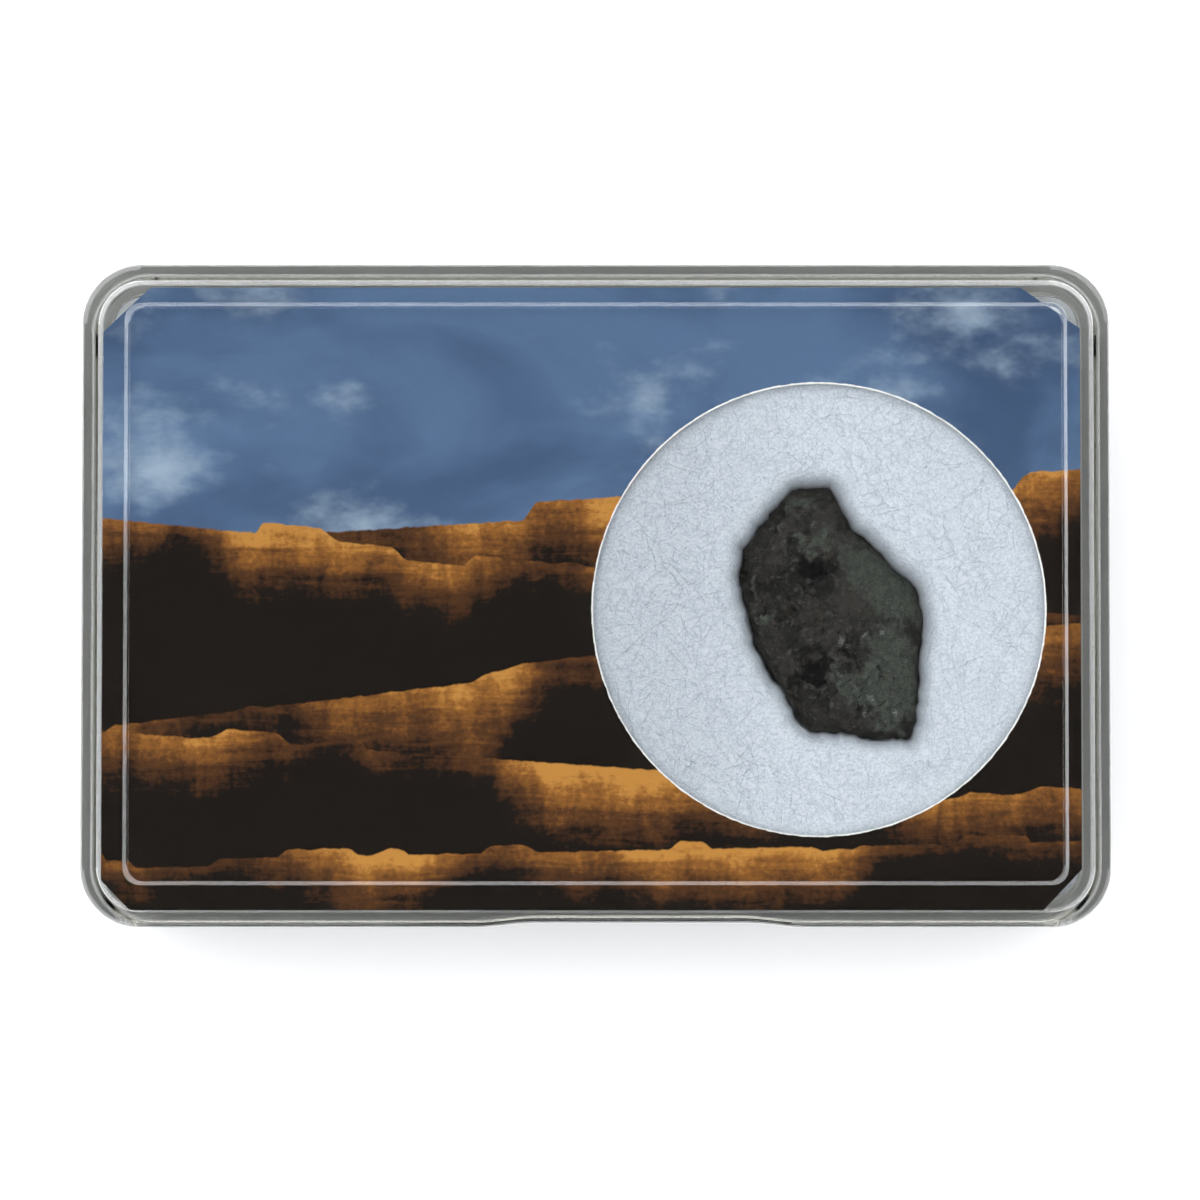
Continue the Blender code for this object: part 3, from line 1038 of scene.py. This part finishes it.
# a short wandering path that lies on the pad
def fibrePath(padTree, point, heading, normal, dice):
    path = []
    step = fibres["length"] * dice.uniform(fibres["shortest"], fibres["longest"])
    step /= fibres["points"] - 1
    side = normal.cross(heading).normalized()
    bend = dice.uniform(-1.0, 1.0) * fibres["curl"]
    for index in range(fibres["points"]):
        nearest, facing, _, _ = padTree.find_nearest(point * mm)
        share = index / (fibres["points"] - 1)
        lift = fibres["lift"] * (0.4 + 1.6 * math.sin(math.pi * share) * dice.random())
        path.append(nearest / mm + facing * lift)
        turned = (heading + side * bend * share).normalized()
        point = nearest / mm + turned * step
    return path


def clearOfStone(path, stoneTree):
    return all(stoneTree.find_nearest(point * mm)[3] > fibres["stoneGap"] * mm for point in path)


def makeWindowFibres(padTree):
    stoneTree = BVHTree.FromObject(meteorite, bpy.context.evaluated_depsgraph_get())
    dice = random.Random(fibres["windowSeed"])
    paths = []
    centreX, centreY = pad["windowCentre"]
    while len(paths) < fibres["windowCount"]:
        angle = dice.uniform(0.0, 2.0 * math.pi)
        reach = fibres["windowReach"] * math.sqrt(dice.random())
        x = centreX + reach * math.cos(angle)
        y = centreY + reach * math.sin(angle)
        above = Vector((x, y, fibres["dropFrom"])) * mm
        hit, facing, _, _ = padTree.ray_cast(above, Vector((0, 0, -1)))
        if hit is None or hit.z < fibres["lowest"] * mm:
            continue
        turn = dice.uniform(0.0, 2.0 * math.pi)
        heading = Vector((math.cos(turn), math.sin(turn), 0.0))
        path = fibrePath(padTree, hit / mm, heading, facing, dice)
        if clearOfStone(path, stoneTree):
            paths.append(path)
    return fibreMesh("wadding_fibres", paths)


def makeEdgeFibres(padTree):
    dice = random.Random(fibres["edgeSeed"])
    low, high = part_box("wadding_pad")
    margin = fibres["edgeMargin"] * mm
    paths = []
    while len(paths) < fibres["edgeCount"]:
        turn = dice.uniform(0.0, 2.0 * math.pi)
        outward = Vector((math.cos(turn), math.sin(turn), 0.0))
        across = dice.uniform(low.x, high.x)
        along = dice.uniform(low.y, high.y)
        if dice.random() < fibres["longSides"]:
            start = Vector((across, math.copysign(fibres["longSideAt"], outward.y), 0.0))
        else:
            start = Vector((math.copysign(fibres["shortSideAt"], outward.x), along, 0.0))
        start.z = dice.uniform(low.z + margin, high.z - margin)
        nearest, facing, _, _ = padTree.find_nearest(start)
        if nearest is None or abs(facing.z) > fibres["wallLimit"]:
            continue
        heading = facing.cross(Vector((0.0, 0.0, 1.0))).normalized()
        sideways = heading * dice.choice((-1, 1))
        heading = (sideways + Vector((0, 0, dice.uniform(-1, 1)))).normalized()
        paths.append(fibrePath(padTree, nearest / mm, heading, facing, dice))
    return fibreMesh("wadding_edge_fibres", paths)


def makeWadding():
    material = makeWaddingMaterial()
    wadding = makePad()
    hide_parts("wadding_pad")
    padTree = BVHTree.FromObject(wadding, bpy.context.evaluated_depsgraph_get())
    pieces = [wadding, makeWindowFibres(padTree), makeEdgeFibres(padTree)]
    for piece in pieces:
        dress(piece, material)
        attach(piece, "root")
    return pieces


for piece in makeWadding():
    print("wadding:", piece.name, len(piece.data.polygons), "faces")


# The card: a plain printed sky over banded rock, with a white paper core at its cut edges
card = {
    "skyDeep": (0.036, 0.066, 0.130),
    "skyMiddle": (0.082, 0.140, 0.245),
    "cloud": (0.29, 0.37, 0.46),
    "paper": (0.82, 0.82, 0.80),
    "paperShade": (0.70, 0.70, 0.68),
    "paperNoise": (6.0, 3.0, 0.7),  # scale, detail and roughness
    "paperRough": 0.75,
    "printRough": 0.3,  # how much smoother the printed side is
    "specular": 0.05,
    "bumpDistance": 0.00003,
    "bumpStrength": 0.25,
    "speckleNoise": (7.0, 3.0, 0.8),
    "hazeFade": (24.0, 2.0),
    "haze": 0.35,
    "wispNoise": (0.07, 4.0, 0.55, 0.5),
    "puffNoise": (0.085, 5.0, 0.6),
    "grain": 0.16,
    "windowCentre": (18.05, -1.1),
    "windowRadius": 18.3,
    "cutEdge": 0.13,
    "stepCount": 7.0,
    "stepRise": 2.4,
    "bandNoise": (1.1, 3.0, 0.65, 0.5),
    "slideNoise": (0.5, 2.0, 0.6, 0.8),
    "rubbleNoise": (2.4, 3.0, 0.75),
    "ledges": [  # height at the middle, slope, rise of the steps, steps a millimetre, seed, depth
        {"base": 7.0, "slope": 0.06, "rise": 4.2, "pace": 0.055, "seed": 3.1, "fall": 8.0},
        {"base": 2.6, "slope": -0.10, "rise": 2.8, "pace": 0.07, "seed": 11.7, "fall": 6.5},
        {"base": -5.5, "slope": 0.12, "rise": 3.0, "pace": 0.05, "seed": 19.2, "fall": 9.5},
        {"base": -13.5, "slope": -0.07, "rise": 2.6, "pace": 0.06, "seed": 27.9, "fall": 7.5},
        {"base": -20.5, "slope": 0.02, "rise": 1.8, "pace": 0.08, "seed": 44.6, "fall": 6.0},
    ],
    "lit": (0.43, 0.20, 0.042),
    "amber": (0.22, 0.088, 0.018),
    "brown": (0.080, 0.031, 0.010),
    "dark": (0.0075, 0.0050, 0.0034),
}


def paintSky(place):
    wisps = place.stretched(0.6, 1.0, 1.0).noise(*card["wispNoise"])
    haze = place.part("Y").fade(*card["hazeFade"]) * card["haze"]
    shade = wisps.fade(0.36, 0.62) * 0.8 + haze
    sky = shade.between(card["skyDeep"], card["skyMiddle"])
    puffs = place.shifted(31.0, 7.0, 0.0).stretched(0.7, 1.1, 1.0).noise(*card["puffNoise"])
    return (puffs.fade(0.52, 0.74) * 0.9).between(sky, card["cloud"])


# lays one stepped ledge of banded rock over the picture so far
def paintLedge(place, behind, ledge):
    x, y = place.part("X"), place.part("Y")
    along = place.stretched(1.0, 0.0, 0.0).shifted(ledge["seed"] * 9.0, 0.0, 0.0)
    outline = along.noise(ledge["pace"], 2.0, 0.45)
    climb = outline * card["stepCount"]
    steps = (climb.math("FLOOR") + climb.math("FRACT").fade(0.72, 1.0)) / card["stepCount"]
    crumble = along.noise(0.9, 3.0, 0.6) * 0.5
    climbed = (steps - 0.5) * ledge["rise"] * card["stepRise"]
    top = x * ledge["slope"] + climbed + crumble + ledge["base"]
    depth = top - y
    moved = place.shifted(ledge["seed"], 0.0, 0.0)
    bands = moved.stretched(0.14, 1.0, 1.0).noise(*card["bandNoise"])
    slides = moved.stretched(1.0, 0.4, 1.0).noise(*card["slideNoise"])
    rubble = moved.noise(*card["rubbleNoise"])
    texture = (bands - 0.5) * 0.7 + (slides - 0.5) * 0.6 + (rubble - 0.5) * 0.55
    sunny = along.noise(0.045, 1.0).fade(0.38, 0.6)
    shade = (depth * (1.15 / ledge["fall"]) + texture + (0.6 - sunny * 0.72)).math("MAXIMUM", 0.0)
    rock = shade.node(
        "ValToRGB",
        {
            "stops": [
                (0.0, card["lit"]),
                (0.22, card["amber"]),
                (0.5, card["brown"]),
                (0.85, card["dark"]),
            ]
        },
        {"Fac": shade},
    )
    return depth.fade(0.0, 0.18).between(behind, rock)


def makeCardMaterial():
    material, start, place = newMaterial("card_print")
    picture = paintSky(place)
    for ledge in card["ledges"]:
        picture = paintLedge(place, picture, ledge)
    speckle = place.noise(*card["speckleNoise"])
    tone = speckle * (2.0 * card["grain"]) + (1.0 - card["grain"])
    printed = picture.scaled(tone)
    facing = start.node("NewGeometry", {}, {}, "Normal").part("Z")
    flat = place.stretched(1.0, 1.0, 0.0)
    middle = (*card["windowCentre"], 0.0)
    away = flat.node("VectorMath", {"operation": "DISTANCE"}, {0: flat, 1: middle}, "Value")
    fromCut = away - card["windowRadius"] + (place.noise(1.4, 3.0, 0.6) - 0.5) * 0.2
    upper = facing.fade(0.6, 0.9) * fromCut.fade(card["cutEdge"] * 0.5, card["cutEdge"])
    fibre = place.noise(*card["paperNoise"])
    paper = (fibre * 0.25).between(card["paper"], card["paperShade"])
    bump = start.node(
        "Bump",
        {},
        {
            "Height": fibre,
            "Distance": card["bumpDistance"],
            "Strength": card["bumpStrength"],
        },
    )
    closeMaterial(
        start,
        {
            "Base Color": upper.between(paper, printed),
            "Roughness": card["paperRough"] - upper * card["printRough"],
            "Specular IOR Level": card["specular"],
            "Normal": bump,
        },
    )
    return material


dress(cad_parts["label_card"], makeCardMaterial())
print("card printed")


# The floor, the soft lights and the sky that the plastic mirrors
studio = {
    "floor": (0.52, 0.52, 0.52),
    "floorSize": 2.5,
    "floorDrop": 0.02 * mm,
    "sky": (1.0, 1.01, 1.03),
    "horizon": (0.52, 0.52, 0.52),
    "skyFade": (-0.05, 0.75),
    "skyStrength": 1.55,
    "glows": [  # where each soft panel hangs, and how light it is
        ((-0.68, 0.14, 0.72), (2.9, 2.93, 2.98)),
        ((0.06, 0.70, 0.71), (2.9, 2.93, 2.98)),
        ((0.72, -0.10, 0.69), (2.1, 2.12, 2.16)),
    ],
    "glowEdge": 0.6,
    "glowMiddle": 0.9,
    "glowFoot": 0.25,  # each panel fades out below this height, so a low view isn't dazzled
    "glowTop": 0.45,
    "zenithEdge": 0.975,  # the dark round the camera, which the flat lid mirrors
    "zenithMiddle": 0.985,
    "zenith": (0.01, 0.01, 0.01),
}


def makeFloor():
    bm = bmesh.new()
    bmesh.ops.create_grid(bm, x_segments=1, y_segments=1, size=studio["floorSize"])
    bmesh.ops.translate(bm, vec=(0.0, 0.0, -studio["floorDrop"]), verts=bm.verts)
    floor = newPiece("floor", bm)
    material, start, _ = newMaterial("pale_floor")
    closeMaterial(
        start,
        {"Base Color": studio["floor"], "Roughness": 0.9, "Specular IOR Level": 0.0},
    )
    dress(floor, material)


def makeSky():
    world = bpy.data.worlds.new("studio_sky")
    world.use_nodes = True
    world.node_tree.nodes.clear()
    start = Wire(world.node_tree)
    towards = start.node("TexCoord", output="Generated")
    up = towards.part("Z")
    light = up.fade(*studio["skyFade"]).between(studio["horizon"], studio["sky"])
    aboveFoot = up.fade(studio["glowFoot"], studio["glowTop"])
    for place, glow in studio["glows"]:
        along = towards.node(
            "VectorMath", {"operation": "DOT_PRODUCT"}, {0: towards, 1: place}, "Value"
        )
        lit = along.fade(studio["glowEdge"], studio["glowMiddle"]) * aboveFoot
        light = lit.between(light, glow)
    dark = up.fade(studio["zenithEdge"], studio["zenithMiddle"])
    light = dark.between(light, studio["zenith"])
    background = start.node("Background", {}, {"Color": light, "Strength": studio["skyStrength"]})
    start.node("OutputWorld", {}, {"Surface": background})
    # the sky is soft all over, so the light paths find it without being aimed at it
    world.cycles.sampling_method = "NONE"
    scene.world = world


makeFloor()
makeSky()
print("studio lit")
